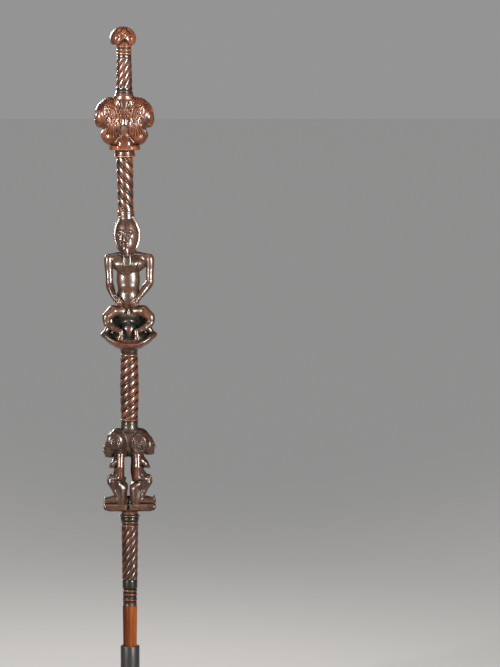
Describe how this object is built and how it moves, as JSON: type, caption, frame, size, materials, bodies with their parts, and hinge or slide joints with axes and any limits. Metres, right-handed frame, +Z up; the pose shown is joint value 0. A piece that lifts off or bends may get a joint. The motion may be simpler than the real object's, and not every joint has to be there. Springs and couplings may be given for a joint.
{
  "type": "carved wooden scepter on a stand",
  "caption": "Carved hardwood chief's scepter with a star knob, back-to-back lion heads, a seated figure and a squatting pair between twisted stretches, upright in a black metal stand.",
  "frame": {"origin": "middle of the underside of the stand's foot, where it rests on the table", "axes": "+Z up along the scepter, +X to the right seen from the front, and the front, where the seated figure faces, is -Y"},
  "size_m": [0.19, 0.19, 1.0726],
  "materials": {
    "carved_wood": "polished dark red-brown hardwood with black patina in the grooves",
    "black_metal": "semi-gloss black"
  },
  "bodies": {
    "root": {"scepter": "carved_wood", "stand": "black_metal"}
  },
  "joints": []
}
